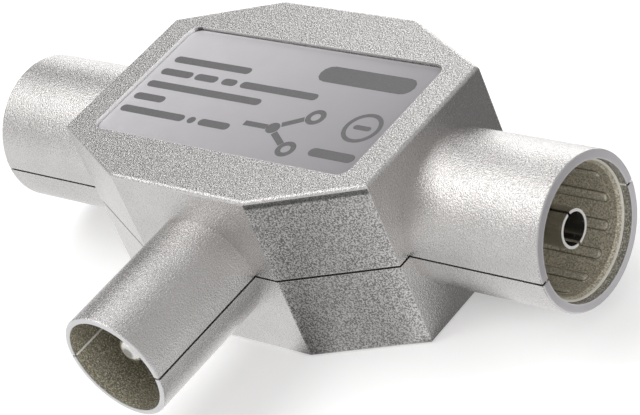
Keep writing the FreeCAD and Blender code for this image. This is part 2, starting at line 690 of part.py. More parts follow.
def box(name, length, width, height, x, y, z):
    """A block centred on x and y and standing on z."""
    made = doc.addObject("Part::Box", name)
    made.setExpression("Length", length)
    made.setExpression("Width", width)
    made.setExpression("Height", height)
    place(made, f"({x}) - ({length}) / 2", f"({y}) - ({width}) / 2", z)
    return made


def rod(name, radius, length, x, y, z, axis=Vector(0, 0, 1)):
    made = doc.addObject("Part::Cylinder", name)
    made.setExpression("Radius", radius)
    made.setExpression("Height", length)
    made.Placement = FreeCAD.Placement(Vector(), FreeCAD.Rotation(Vector(0, 0, 1), axis))
    place(made, x, y, z)
    return made


def cut(name, base, tool):
    made = doc.addObject("Part::Cut", name)
    made.Base = base
    made.Tool = tool
    return made


def joined(kind, name, pieces):
    """Several solids fused to one piece, or kept as a group of loose ones."""
    made = doc.addObject(f"Part::{kind}", name)
    if kind == "Compound":
        made.Links = pieces
    else:
        made.Shapes = pieces
    return made


def as_piece(made, label):
    made.Label = label
    made.setExpression("Placement.Base.z", SEAM_HEIGHT)
    doc.recompute()
    return made


def output_pad_x():
    return f"({BOARD_HALF_LENGTH} - sizes.pad_edge - sizes.pad_length / 2)"


def input_pad_y():
    return f"(-{BOARD_FRONT} + sizes.pad_edge + sizes.pad_length / 2)"


def centre_pad_y():
    """Midway between the back of the two-hole core and the front of the ring core."""
    core_back = f"({MATCH_CORE_Y} + sizes.match_core_width / 2)"
    ring_front = f"({RING_Y} - sizes.ring_outer_radius)"
    return f"({core_back} + {ring_front}) / 2"


def build_board_tracks():
    """The tinned copper pads: three for the ports, one between the cores, four ground rings."""
    copper = "sizes.track_thickness"
    length, width = "sizes.pad_length", "sizes.pad_width"
    pads = [box("input_pad", width, length, copper, "0", input_pad_y(), BOARD_TOP),
            box("centre_pad", length, f"{width} / 2", copper, "0", centre_pad_y(), BOARD_TOP)]
    for side, sign in (("left", "-"), ("right", "")):
        pads.append(box(f"{side}_pad", length, width, copper, f"{sign}{output_pad_x()}", "0", BOARD_TOP))
    for number, (x, y) in enumerate(post_places(), start=1):
        blank = rod(f"ground_disc_{number}", "sizes.post_radius", copper, x, y, BOARD_TOP)
        hole = rod(f"ground_hole_{number}", SPIGOT_HOLE, copper, x, y, BOARD_TOP)
        pads.append(cut(f"ground_ring_{number}", blank, hole))
    return as_piece(joined("Compound", "board_tracks", pads), "board_tracks")


def build_matching_core():
    """A ferrite block with two holes side by side."""
    body = new_body("matching_core")
    half_length = "sizes.match_core_length / 2"
    sketch = new_sketch(body, "matching_core_face", "XZ_Plane")
    sketch.setExpression("AttachmentOffset.Base.z", f"-({MATCH_CORE_Y}) + sizes.match_core_width / 2")
    outline(sketch, four_corners(half_length, BOARD_TOP, f"{BOARD_TOP} + sizes.match_core_height"))
    half_spacing = "sizes.match_hole_spacing / 2"
    holes = [(half_spacing, MATCH_HOLE_Z), (below(half_spacing), MATCH_HOLE_Z)]
    circles(sketch, holes, "sizes.match_hole_radius")
    block = feature(body, "Pad", "matching_core_block", sketch, Length="sizes.match_core_width",
                    Reversed=True)

    def is_long_corner(edge):
        return (edge.BoundBox.YLength > value_of("sizes.match_core_width") / 2
                and abs(abs(edge.BoundBox.Center.x) - value_of(half_length)) < 0.01)

    dress(body, "Fillet", "matching_core_corners", block, is_long_corner,
          "Radius", "sizes.match_hole_radius")
    return body


def build_splitting_core():
    body = new_body("splitting_core")
    body.setExpression("Placement.Base.y", RING_Y)
    bottom = f"({BOARD_TOP} + sizes.ring_lift)"
    top = f"({bottom} + sizes.ring_height)"
    profile = outline(new_sketch(body, "ring_section", "XZ_Plane"),
                      [("sizes.ring_bore_radius", bottom), ("sizes.ring_outer_radius", bottom),
                       ("sizes.ring_outer_radius", top), ("sizes.ring_bore_radius", top)])
    ring = turned(body, "Revolution", "ring_turning", profile, "V")
    dress(body, "Chamfer", "ring_edges", ring, lambda edge: len(edge.Vertexes) == 1,
          "Size", "sizes.wire_spacing")
    return body


def wire_through(name, points, radius):
    """A wire of straight runs with mitred turns through the points."""
    path = Part.makePolygon(points)
    direction = points[1] - points[0]
    section = Part.Wire(Part.makeCircle(radius, points[0], direction))
    mitred = 1
    wire = doc.addObject("Part::Feature", name)
    wire.Shape = path.makePipeShell([section], True, False, mitred)
    return wire


def build_matching_winding():
    """Two and a half turns through both holes, from the input pad to the pad between the cores."""
    radius = value_of("sizes.wire_radius")
    pad = value_of(PAD_TOP) + radius
    hole_x = value_of("sizes.match_hole_spacing") / 2
    hole_z = value_of(MATCH_HOLE_Z)
    middle = value_of(MATCH_CORE_Y)
    reach = value_of("sizes.match_core_width") / 2 + radius + value_of("sizes.wire_spacing")
    step = value_of("sizes.match_hole_radius") / 2
    pad_side = value_of("sizes.pad_width") / 2 - radius
    pad_end = value_of(input_pad_y()) + value_of("sizes.pad_length") / 2 - radius
    points = [Vector(pad_side, pad_end, pad)]
    for turn in (-1, 0, 1):
        height = hole_z + turn * step
        points.append(Vector(hole_x, middle - reach, height))
        points.append(Vector(hole_x, middle + reach, height))
        if turn < 1:
            points.append(Vector(-hole_x, middle + reach, height + step / 3))
            points.append(Vector(-hole_x, middle - reach, height + step / 3))
    points.append(Vector(0, value_of(centre_pad_y()), pad))
    return as_piece(wire_through("matching_winding", points, radius), "matching_winding")


def build_ring_winding(label, side):
    """Four turns on one side of the ring, from the pad between the cores to an output pad."""
    radius = value_of("sizes.wire_radius")
    gap = radius + value_of("sizes.wire_spacing")
    outer = value_of("sizes.ring_outer_radius") + gap
    inner = value_of("sizes.ring_bore_radius") - gap
    bottom = value_of(BOARD_TOP) + value_of("sizes.ring_lift") - gap
    top = value_of(BOARD_TOP) + value_of("sizes.ring_lift") + value_of("sizes.ring_height") + gap
    pad = value_of(PAD_TOP) + radius
    ring_y = value_of(RING_Y)
    first_angle, turn_angle, turns = -70, 22, 4

    def on_ring(angle, distance, height):
        across = distance * math.cos(math.radians(angle))
        along = distance * math.sin(math.radians(angle))
        return Vector(side * across, ring_y + along, height)

    points = [Vector(side * value_of("sizes.pad_length") / 3, value_of(centre_pad_y()), pad)]
    for turn in range(turns):
        angle = first_angle + turn * turn_angle
        points += [on_ring(angle, outer, bottom), on_ring(angle, outer, top),
                   on_ring(angle, inner, top), on_ring(angle, inner, bottom)]
    points.append(on_ring(first_angle + turns * turn_angle, outer, bottom))
    pad_start = value_of(output_pad_x()) - value_of("sizes.pad_length") / 2 + radius
    points.append(Vector(side * pad_start, value_of("sizes.pad_width") / 3, pad))
    return as_piece(wire_through(label, points, radius), label)


def build_isolation_resistor():
    """An axial resistor lying between the outputs, its bent leads through the board."""
    radius = value_of("sizes.lead_radius")
    half_span = value_of("sizes.resistor_span") / 2
    y = value_of(RESISTOR_Y)
    top = value_of(PAD_TOP) + value_of("sizes.resistor_radius")
    low = value_of(BOARD_BOTTOM) - value_of("sizes.lead_proud")
    points = [Vector(-half_span, y, low), Vector(-half_span, y, top), Vector(half_span, y, top),
              Vector(half_span, y, low)]
    lead = wire_through("resistor_lead", points, radius)
    resistor_body = rod("resistor_body", "sizes.resistor_radius", "sizes.resistor_length",
                        "-sizes.resistor_length / 2", RESISTOR_Y, f"{PAD_TOP} + sizes.resistor_radius",
                        Vector(1, 0, 0))
    return as_piece(joined("MultiFuse", "isolation_resistor", [resistor_body, lead]), "isolation_resistor")


def build_input_capacitor():
    """A ceramic disc standing on edge on two leads."""
    centre = f"{PAD_TOP} + sizes.capacitor_lift + sizes.capacitor_radius"
    disc = rod("capacitor_disc", "sizes.capacitor_radius", "sizes.capacitor_thickness", CAPACITOR_X,
               f"{CAPACITOR_Y} - sizes.capacitor_thickness / 2", centre, Vector(0, 1, 0))
    rounded = doc.addObject("Part::Fillet", "capacitor_rim")
    rounded.Base = disc
    doc.recompute()
    bend = value_of("sizes.capacitor_thickness") / 3
    rounded.Edges = [(number, bend, bend) for number, edge in enumerate(disc.Shape.Edges, start=1)
                     if len(edge.Vertexes) == 1]
    length = f"({centre}) - ({BOARD_BOTTOM}) + sizes.lead_proud"
    leads = [rod(f"capacitor_lead_{number}", "sizes.lead_radius", length, x, y,
                 f"{BOARD_BOTTOM} - sizes.lead_proud")
             for number, (x, y) in enumerate(capacitor_lead_places(), start=1)]
    return as_piece(joined("MultiFuse", "input_capacitor", [rounded] + leads), "input_capacitor")


def build_solder_joints():
    """A mound over each of the three port tails, on its pad."""
    mounds = []
    tail = "sizes.tail_radius + sizes.fit_clearance"
    ports = (("left", f"-{output_pad_x()}", "0", Vector(1, 0, 0)),
             ("right", output_pad_x(), "0", Vector(1, 0, 0)),
             ("input", "0", input_pad_y(), Vector(0, 1, 0)))
    for name, x, y, along in ports:
        dome = doc.addObject("Part::Ellipsoid", f"{name}_solder_dome")
        dome.setExpression("Radius1", "sizes.solder_height")
        lengthwise = along.x > 0
        dome.setExpression("Radius2", f"sizes.solder_{'length' if lengthwise else 'width'} / 2")
        dome.setExpression("Radius3", f"sizes.solder_{'width' if lengthwise else 'length'} / 2")
        dome.Angle1 = 0
        place(dome, x, y, PAD_TOP)
        start_x = f"{x} - sizes.solder_length" if lengthwise else x
        start_y = y if lengthwise else f"{y} - sizes.solder_length"
        clearing = rod(f"{name}_tail_way", tail, "2 * sizes.solder_length", start_x, start_y, "0", along)
        mounds.append(cut(f"{name}_solder", dome, clearing))
    return as_piece(joined("Compound", "solder_joints", mounds), "solder_joints")


LEFT_TURN = 180
RIGHT_TURN = 0


def build_all():
    pieces = [build_upper_shell(), build_lower_shell(), build_label_plate()]
    for side, turn in (("left", LEFT_TURN), ("right", RIGHT_TURN)):
        pieces.append(build_contact_sleeve(f"{side}_contact_sleeve", turn))
        pieces.append(build_centre_contact(f"{side}_centre_contact", turn))
        pieces.append(build_socket_insulator(f"{side}_socket_insulator", turn))
    pieces += [build_plug_pin(), build_plug_insulator(), build_circuit_board(), build_board_tracks(),
               build_matching_core(), build_matching_winding(), build_splitting_core(),
               build_ring_winding("left_splitting_winding", -1),
               build_ring_winding("right_splitting_winding", 1),
               build_isolation_resistor(), build_input_capacitor(), build_solder_joints()]
    return pieces


def check(pieces):
    doc.recompute()
    for made in doc.Objects:
        if "Invalid" in made.State or "Error" in made.State:
            raise RuntimeError(f"{made.Label} did not build: {made.State}")
    for piece in pieces:
        if piece.Shape.isNull() or not piece.Shape.isValid() or not piece.Shape.Solids:
            raise RuntimeError(f"{piece.Label} has no sound shape")


def write_parts(pieces):
    os.makedirs("parts", exist_ok=True)
    for piece in pieces:
        piece.Shape.exportStep(f"parts/{piece.Label}.step")
        print(f"{piece.Label}: {len(piece.Shape.Solids)} solid, {piece.Shape.Volume:.2f} mm3")


pieces = build_all()
check(pieces)
write_parts(pieces)
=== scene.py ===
import math
from types import SimpleNamespace

import bmesh
import bpy
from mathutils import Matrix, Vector


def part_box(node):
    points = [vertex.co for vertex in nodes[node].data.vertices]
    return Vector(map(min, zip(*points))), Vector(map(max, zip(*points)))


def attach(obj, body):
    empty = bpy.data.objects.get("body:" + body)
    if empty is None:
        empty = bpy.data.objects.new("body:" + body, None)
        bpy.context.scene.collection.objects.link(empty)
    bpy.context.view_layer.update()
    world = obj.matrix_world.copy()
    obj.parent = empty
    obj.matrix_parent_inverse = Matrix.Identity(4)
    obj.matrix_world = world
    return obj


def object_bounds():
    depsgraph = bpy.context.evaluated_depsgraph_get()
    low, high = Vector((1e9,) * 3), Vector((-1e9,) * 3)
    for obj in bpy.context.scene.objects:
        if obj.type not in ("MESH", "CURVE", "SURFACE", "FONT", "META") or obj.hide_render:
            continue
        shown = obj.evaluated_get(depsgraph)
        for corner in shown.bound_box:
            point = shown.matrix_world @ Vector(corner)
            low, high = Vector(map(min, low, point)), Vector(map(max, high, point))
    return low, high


# Lengths are metres in the part's own frame: +X to the right socket, -Y to the plug, +Z up to the
# label, with the origin on the base. Sizes that are easier to read in millimetres are written
# as a number times MM.
MM = 0.001

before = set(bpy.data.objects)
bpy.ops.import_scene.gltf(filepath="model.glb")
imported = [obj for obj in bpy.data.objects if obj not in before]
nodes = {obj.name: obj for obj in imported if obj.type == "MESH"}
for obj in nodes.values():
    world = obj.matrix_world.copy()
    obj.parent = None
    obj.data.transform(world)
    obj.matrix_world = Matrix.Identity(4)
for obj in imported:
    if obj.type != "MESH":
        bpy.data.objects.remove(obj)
cad_low, cad_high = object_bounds()

# Ends and faces that materials, marks and lamps are placed by
SOCKET_END = cad_high[0]
PLUG_END = -cad_low[1]
TOP = cad_high[2]
SEAM_HEIGHT = TOP / 2
BODY_END = 16.1 * MM
BODY_FRONT = 11.45 * MM
LABEL_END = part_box("label_plate")[1].x
LABEL_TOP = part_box("label_plate")[1].z
SLEEVE_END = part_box("right_contact_sleeve")[1].x
CONTACT_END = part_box("right_centre_contact")[1].x
PIN_END = -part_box("plug_pin")[0].y

# Radii of the ports' bores, of the sleeves' bore and of the circle through the beads' crowns
SOCKET_BORE = 5.35 * MM
PLUG_BORE = 4.3 * MM
SLEEVE_BORE = 4.98 * MM
BEAD_CIRCLE = 4.78 * MM


def new_material(name):
    material = bpy.data.materials.new(name)
    material.use_nodes = True
    return material, material.node_tree, material.node_tree.nodes["Principled BSDF"]


def add(tree, kind, **settings):
    """A new node. Settings name its properties, or its input sockets where it has no such property."""
    node = tree.nodes.new(kind)
    for name, value in settings.items():
        if hasattr(node, name):
            setattr(node, name, value)
        else:
            node.inputs[name.replace("_", " ")].default_value = value
    return node


def place_of(tree):
    return add(tree, "ShaderNodeTexCoord").outputs["Object"]


def separated(tree, vector):
    """The X, Y and Z of a vector socket."""
    parts = add(tree, "ShaderNodeSeparateXYZ")
    tree.links.new(vector, parts.inputs[0])
    return parts.outputs


def maths(tree, operation, *values):
    """One operation on numbers or number sockets."""
    node = add(tree, "ShaderNodeMath", operation=operation)
    for socket, value in zip(node.inputs, values):
        if isinstance(value, (int, float)):
            socket.default_value = value
        else:
            tree.links.new(value, socket)
    return node.outputs["Value"]


def above(tree, value, limit):
    return maths(tree, "GREATER_THAN", value, limit)


def below(tree, value, limit):
    return maths(tree, "LESS_THAN", value, limit)


def all_of(tree, first, *others):
    """The product of masks: 1 where every mask is 1."""
    for other in others:
        first = maths(tree, "MULTIPLY", first, other)
    return first


def any_of(tree, first, *others):
    """The highest of the masks."""
    for other in others:
        first = maths(tree, "MAXIMUM", first, other)
    return first


def ranged(tree, value, low, high, from_low=0.3, from_high=0.7):
    """A number that goes from low to high while the value goes from from_low to from_high."""
    node = add(tree, "ShaderNodeMapRange")
    numbers = {"From Min": from_low, "From Max": from_high, "To Min": low, "To Max": high}
    for socket, number in numbers.items():
        node.inputs[socket].default_value = number
    tree.links.new(value, node.inputs["Value"])
    return node.outputs["Result"]


def rising(tree, value, start, end):
    return ranged(tree, value, 0.0, 1.0, start, end)


def falling(tree, value, start, end):
    return ranged(tree, value, 1.0, 0.0, start, end)


def noise(tree, per_mm, detail=2.0, roughness=0.5, stretch=None):
    """Noise with about per_mm spots to a millimetre, stretched along an axis if asked."""
    texture = add(tree, "ShaderNodeTexNoise", Scale=per_mm / MM, Detail=detail, Roughness=roughness)
    source = place_of(tree)
    if stretch is not None:
        mapping = add(tree, "ShaderNodeMapping")
        mapping.inputs["Scale"].default_value = stretch
        tree.links.new(source, mapping.inputs["Vector"])
        source = mapping.outputs["Vector"]
    tree.links.new(source, texture.inputs["Vector"])
    return texture.outputs["Fac"]


def blended(tree, factor, first, second):
    """A colour between two colours or colour sockets."""
    node = add(tree, "ShaderNodeMix", data_type="RGBA")
    tree.links.new(factor, node.inputs["Factor"])
    for name, colour in (("A", first), ("B", second)):
        target = next(socket for socket in node.inputs if socket.name == name and socket.type == "RGBA")
        if isinstance(colour, tuple):
            target.default_value = (*colour, 1)
        else:
            tree.links.new(colour, target)
    return next(socket for socket in node.outputs if socket.type == "RGBA")


def bumped(tree, shader, height, depth):
    """The node that bends the shader's normal by a height."""
    node = add(tree, "ShaderNodeBump", Distance=depth)
    tree.links.new(height, node.inputs["Height"])
    tree.links.new(node.outputs["Normal"], shader.inputs["Normal"])
    return node


def facing(tree, direction):
    """How far the surface faces a direction: 1 straight, 0 sideways."""
    dot = add(tree, "ShaderNodeVectorMath", operation="DOT_PRODUCT")
    tree.links.new(add(tree, "ShaderNodeNewGeometry").outputs["True Normal"], dot.inputs[0])
    dot.inputs[1].default_value = direction
    return dot.outputs["Value"]


def edge_wear(tree):
    """0 on flat ground, rising to 1 on an edge that stands out."""
    bevel = add(tree, "ShaderNodeBevel", samples=6, Radius=0.1 * MM)
    dot = add(tree, "ShaderNodeVectorMath", operation="DOT_PRODUCT")
    tree.links.new(bevel.outputs["Normal"], dot.inputs[0])
    tree.links.new(add(tree, "ShaderNodeNewGeometry").outputs["Normal"], dot.inputs[1])
    openness = add(tree, "ShaderNodeAmbientOcclusion", samples=6, Distance=0.4 * MM).outputs["AO"]
    return all_of(tree, falling(tree, dot.outputs["Value"], 0.8, 0.99), rising(tree, openness, 0.7, 0.9))


def radius_round(tree, axis):
    """Distance from the sockets' axis X or the plug's axis Y, and the place along that axis."""
    place = separated(tree, place_of(tree))
    across, along = ("Y", "X") if axis == "X" else ("X", "Y")
    side = maths(tree, "POWER", place[across], 2.0)
    rise = maths(tree, "POWER", maths(tree, "SUBTRACT", place["Z"], SEAM_HEIGHT), 2.0)
    return maths(tree, "SQRT", maths(tree, "ADD", side, rise)), place[along]


def plain_material(name, colour, roughness, spots_per_mm=3, detail=4, depth=0.01 * MM, contrast=0.85,
                   gloss_spread=(0.85, 1.15), metallic=0.0):
    """One colour with faint mottling, uneven gloss and a slight texture."""
    material, tree, shader = new_material(name)
    shader.inputs["Metallic"].default_value = metallic
    mottle = noise(tree, spots_per_mm, detail=detail)
    darker = tuple(channel * contrast for channel in colour)
    mottled = blended(tree, ranged(tree, mottle, 0.0, 1.0), colour, darker)
    tree.links.new(mottled, shader.inputs["Base Color"])
    glossier, duller = (roughness * share for share in gloss_spread)
    tree.links.new(ranged(tree, mottle, glossier, duller), shader.inputs["Roughness"])
    bumped(tree, shader, mottle, depth)
    return material


def satin_metal(name, colour, roughness):
    return plain_material(name, colour, roughness, spots_per_mm=6, detail=3, depth=0.004 * MM,
                          gloss_spread=(0.8, 1.25), metallic=1.0)


# Depth of the grain on castings and sleeves, and how metallic plating stays where it is dull
GRAIN_DEPTH = 0.06 * MM
DULL_METALLIC = 0.35

# Colours of the castings, the paler of a pair first where a grain mixes two
PLATE = (0.67, 0.655, 0.645)
PLATE_SHADE = (0.62, 0.605, 0.595)
SPECK = (0.3, 0.29, 0.28)
# The top face's grain is painted as glints and shade, and the face is painted darker than the sides
TOP_SPARKLE = (0.70, 0.69, 0.68)
TOP_SHADE = (0.37, 0.362, 0.355)
# The right front chamfer alone is painted darker, its grain painted as glints and shade
GRIT = (0.71, 0.70, 0.69)
GRIT_SHADE = (0.24, 0.233, 0.227)
# Painted shade in a band just under the top edge of the right front chamfer
UNDER_EDGE = (0.06, 0.06, 0.06)
# Painted highlight on the left wall of the label's recess
CUT_METAL = (0.95, 0.95, 0.95)
# Standing edges painted bright: partly wear, partly painted highlight
WORN_EDGE = (0.93, 0.92, 0.91)
GROOVE = (0.05, 0.048, 0.045)
# The ports' bores: dull brownish colours, the paler as painted glints in a grain
PLUG_GLINT = (0.73, 0.69, 0.555)
PLUG_DULL = (0.32, 0.298, 0.228)
SOCKET_GLINT = (0.60, 0.585, 0.52)
SOCKET_DULL = (0.25, 0.243, 0.208)
# Painted highlight along the seam inside the ports
INNER_SEAM = (0.97, 0.95, 0.9)
SOCKET_RIM = (0.69, 0.675, 0.695)
# Painted shade: the sockets' rims go darker towards the upper front
SOCKET_RIM_SHADE = (0.41, 0.40, 0.41)
PLUG_RIM = (0.66, 0.655, 0.665)
RIM_ROUGHNESS = 0.32

# The right front chamfer faces this way
CHAMFER_DIRECTION = (0.385, -0.923, 0)


def casting_places(tree):
    """Masks of the places where a casting looks different: 1 there and 0 elsewhere."""
    socket_radius, across = radius_round(tree, "X")
    plug_radius, along = radius_round(tree, "Y")
    reach = maths(tree, "ABSOLUTE", across)
    place = separated(tree, place_of(tree))
    height = place["Z"]
    over_seam = maths(tree, "SUBTRACT", height, SEAM_HEIGHT)
    off_seam = maths(tree, "ABSOLUTE", over_seam)
    at = SimpleNamespace()
    at.in_socket = all_of(tree, below(tree, socket_radius, SOCKET_BORE + 0.1 * MM),
                          above(tree, reach, BODY_END - 1.1 * MM))
    at.in_plug = all_of(tree, below(tree, plug_radius, PLUG_BORE + 0.1 * MM),
                        below(tree, along, 0.45 * MM - BODY_FRONT))
    at.socket_rim = above(tree, reach, SOCKET_END - 0.05 * MM)
    at.plug_rim = below(tree, along, 0.05 * MM - PLUG_END)
    at.rim = any_of(tree, at.socket_rim, at.plug_rim)
    # How far the painted shade on the sockets' rims goes, rising towards the upper front
    at.upper_front = rising(tree, maths(tree, "SUBTRACT", over_seam, place["Y"]), -8 * MM, 8 * MM)
    at.body_side = all_of(tree, below(tree, reach, BODY_END - 0.05 * MM),
                          above(tree, along, 0.05 * MM - BODY_FRONT),
                          below(tree, height, TOP - 0.4 * MM))
    at.top_face = all_of(tree, above(tree, facing(tree, (0, 0, 1)), 0.9),
                         above(tree, height, TOP - 0.3 * MM))
    at.chamfer = rising(tree, facing(tree, CHAMFER_DIRECTION), 0.96, 0.98)
    # Where the painted shade band under the top edge lies
    at.under_edge = rising(tree, height, TOP - 0.8 * MM, TOP - 0.65 * MM)
    # The recess's left wall, which gets a painted highlight
    at.cut_wall = all_of(tree, above(tree, facing(tree, (1, 0, 0)), 0.8),
                         below(tree, reach, LABEL_END + 0.5 * MM),
                         above(tree, height, LABEL_TOP - 0.3 * MM))
    # Edges that are painted bright, partly as wear and partly as painted highlight
    at.wear = all_of(tree, edge_wear(tree), below(tree, reach, SOCKET_END - 0.35 * MM))
    at.top_wear = all_of(tree, at.wear, above(tree, height, TOP - 0.5 * MM))
    at.groove = below(tree, off_seam, 0.095 * MM)
    # Where the painted highlight along the inner seam lies
    at.inner_seam = below(tree, off_seam, 0.09 * MM)
    return at


def casting_outside(tree, grain, at):
    """Plated metal with grain: painted darker with painted glints on top and, coarser, on the right front
    chamfer, painted shade under the chamfer's top edge, a painted highlight on the label recess's left
    wall, and edges bright with wear and painted highlight.
    """
    patches = ranged(tree, noise(tree, 0.3, detail=2), 0.0, 1.0)
    plate = blended(tree, patches, PLATE, PLATE_SHADE)
    shown = blended(tree, ranged(tree, grain, 0.08, 0.0, 0.36, 0.62), plate, SPECK)
    coarse_grain = rising(tree, grain, 0.42, 0.58)
    # Painted glints and painted shade on the top face
    shown = blended(tree, at.top_face, shown, blended(tree, coarse_grain, TOP_SHADE, TOP_SPARKLE))
    # Painted shade and painted glints on the right front chamfer
    gritty = blended(tree, coarse_grain, GRIT_SHADE, GRIT)
    # Painted shade band under the chamfer's top edge
    gritty = blended(tree, maths(tree, "MULTIPLY", at.under_edge, 0.75), gritty, UNDER_EDGE)
    shown = blended(tree, at.chamfer, shown, gritty)
    # Painted highlight on the label recess's left wall
    shown = blended(tree, at.cut_wall, shown, CUT_METAL)
    # Wear and painted highlight on standing edges
    shown = blended(tree, at.wear, shown, WORN_EDGE)
    return blended(tree, at.groove, shown, GROOVE)


def casting_inside(tree, at):
    """Dull brownish metal with painted glints, and a painted highlight along the seam."""
    glints = rising(tree, noise(tree, 7.5, detail=2), 0.46, 0.6)
    plug_bore = blended(tree, glints, PLUG_DULL, PLUG_GLINT)
    socket_bore = blended(tree, glints, SOCKET_DULL, SOCKET_GLINT)
    return blended(tree, at.inner_seam, blended(tree, at.in_socket, plug_bore, socket_bore), INNER_SEAM)


def casting_material():
    """The shells' plated casting, outside, inside the ports and on the ports' rims."""
    material, tree, shader = new_material("nickel_casting")
    at = casting_places(tree)
    grain = noise(tree, 8, detail=2, roughness=0.6)

    shown = blended(tree, any_of(tree, at.in_socket, at.in_plug),
                    casting_outside(tree, grain, at), casting_inside(tree, at))
    # Painted shade on the sockets' rims
    socket_rim_colour = blended(tree, at.upper_front, SOCKET_RIM, SOCKET_RIM_SHADE)
    shown = blended(tree, at.socket_rim, shown, socket_rim_colour)
    tree.links.new(blended(tree, at.plug_rim, shown, PLUG_RIM), shader.inputs["Base Color"])

    rim_roughness = maths(tree, "MULTIPLY", at.rim, RIM_ROUGHNESS)
    tree.links.new(any_of(tree, ranged(tree, grain, 0.2, 0.3), rim_roughness), shader.inputs["Roughness"])
    bump = bumped(tree, shader, grain, GRAIN_DEPTH)
    smooth = any_of(tree, at.rim, maths(tree, "MULTIPLY", at.body_side, 0.75))
    tree.links.new(ranged(tree, smooth, 1.0, 0.03, 0.0, 1.0), bump.inputs["Strength"])

    plug_dulled = all_of(tree, at.in_plug, ranged(tree, at.inner_seam, 0.65, 1.0, 0.0, 1.0))
    rim_dulled = maths(tree, "MULTIPLY", at.rim, 0.75)
    dulled = any_of(tree, rim_dulled, at.in_socket, at.cut_wall, at.top_wear, plug_dulled)
    tree.links.new(ranged(tree, dulled, 1.0, DULL_METALLIC, 0.0, 1.0), shader.inputs["Metallic"])
    return material


# Colours of the sleeves: the grain's two, the paler as painted glints, then crowns rubbed pale and front
# edges with a painted highlight, then painted shade at the foot of the beads
SPRING_GLINT = (0.70, 0.655, 0.54)
SPRING_DULL = (0.33, 0.30, 0.225)
RUBBED_SPRING = (0.74, 0.715, 0.655)
BEAD_FOOT = (0.1, 0.09, 0.07)


def sleeve_material():
    """Dull spring metal with a fine grain and painted glints, paler where the beads' crowns are rubbed,
    with a painted highlight on the front edge and painted shade at the foot of the beads.
    """
    material, tree, shader = new_material("sleeve_spring")
    shader.inputs["Metallic"].default_value = 0.4
    grain = noise(tree, 7.5, detail=2, roughness=0.6)
    tree.links.new(ranged(tree, grain, 0.336, 0.525), shader.inputs["Roughness"])
    bumped(tree, shader, grain, GRAIN_DEPTH)
    mottled = blended(tree, rising(tree, grain, 0.4, 0.6), SPRING_DULL, SPRING_GLINT)
    radius, along = radius_round(tree, "X")
    crown = falling(tree, radius, BEAD_CIRCLE + 0.01 * MM, BEAD_CIRCLE + 0.1 * MM)
    front_edge = above(tree, maths(tree, "ABSOLUTE", along), SLEEVE_END - 0.13 * MM)
    # Beads' crowns rubbed pale, and a painted highlight on the front edge
    rubbed = any_of(tree, maths(tree, "MULTIPLY", crown, 0.12), front_edge)
    # Painted shade round the foot of each bead
    foot = all_of(tree, rising(tree, radius, SLEEVE_BORE - 0.12 * MM, SLEEVE_BORE - 0.08 * MM),
                  below(tree, radius, SLEEVE_BORE - 0.022 * MM))
    shown = blended(tree, rubbed, mottled, RUBBED_SPRING)
    shown = blended(tree, maths(tree, "MULTIPLY", foot, 0.75), shown, BEAD_FOOT)
    tree.links.new(shown, shader.inputs["Base Color"])
    return material


CONTACT_PLATING = (0.80, 0.79, 0.76)
CONTACT_RING = (0.66, 0.65, 0.63)
PIN_MIDDLE = (0.3, 0.29, 0.27)


def contact_material():
    """Bright plated metal, duller on the tubes' front ring, with painted shade in the middle of the pin's
    nose.
    """
    material = satin_metal("contact_plating", CONTACT_PLATING, 0.22)
    tree = material.node_tree
    shader = tree.nodes["Principled BSDF"]
    plated = shader.inputs["Base Color"].links[0].from_socket
    reach = maths(tree, "ABSOLUTE", radius_round(tree, "X")[1])
    front_ring = above(tree, reach, CONTACT_END - 0.04 * MM)
    pin_radius, along = radius_round(tree, "Y")
    # Painted shade in the middle of the pin's nose
    nose = all_of(tree, below(tree, along, 0.7 * MM - PIN_END),
                  falling(tree, pin_radius, 0.35 * MM, 0.6 * MM))
    shown = blended(tree, front_ring, plated, CONTACT_RING)
    tree.links.new(blended(tree, nose, shown, PIN_MIDDLE), shader.inputs["Base Color"])
    tree.links.new(ranged(tree, front_ring, 1.0, DULL_METALLIC, 0.0, 1.0), shader.inputs["Metallic"])
    return material


# The label's foil is painted from light to shade over this length, a little turned from +X
FOIL = (0.76, 0.745, 0.775)
FOIL_SHADE = (0.33, 0.32, 0.335)
FOIL_CLOUD = (0.4, 0.39, 0.42)
SHADING_LENGTH = 30 * MM
SHADING_TURN = math.radians(10)


def label_material():
    """Smooth silver foil with painted shading, lighter towards its back left corner."""
    material, tree, shader = new_material("label")
    shader.inputs["Metallic"].default_value = 0.45
    gradient = add(tree, "ShaderNodeTexGradient")
    mapping = add(tree, "ShaderNodeMapping")
    mapping.inputs["Location"].default_value = (0.5, 0, 0)
    mapping.inputs["Rotation"].default_value = (0, 0, SHADING_TURN)
    mapping.inputs["Scale"].default_value = (1 / SHADING_LENGTH,) * 3
    tree.links.new(place_of(tree), mapping.inputs["Vector"])
    tree.links.new(mapping.outputs["Vector"], gradient.inputs["Vector"])
    # Painted shading across the foil
    silver = blended(tree, gradient.outputs["Fac"], FOIL, FOIL_SHADE)
    cloud = ranged(tree, noise(tree, 0.5, detail=3), 0.0, 0.12)
    tree.links.new(blended(tree, cloud, silver, FOIL_CLOUD), shader.inputs["Base Color"])
    brushed = noise(tree, 9, detail=2, stretch=(0.12, 1, 1))
    tree.links.new(ranged(tree, brushed, 0.3, 0.36), shader.inputs["Roughness"])
    bumped(tree, shader, brushed, 0.0008 * MM)
    return material


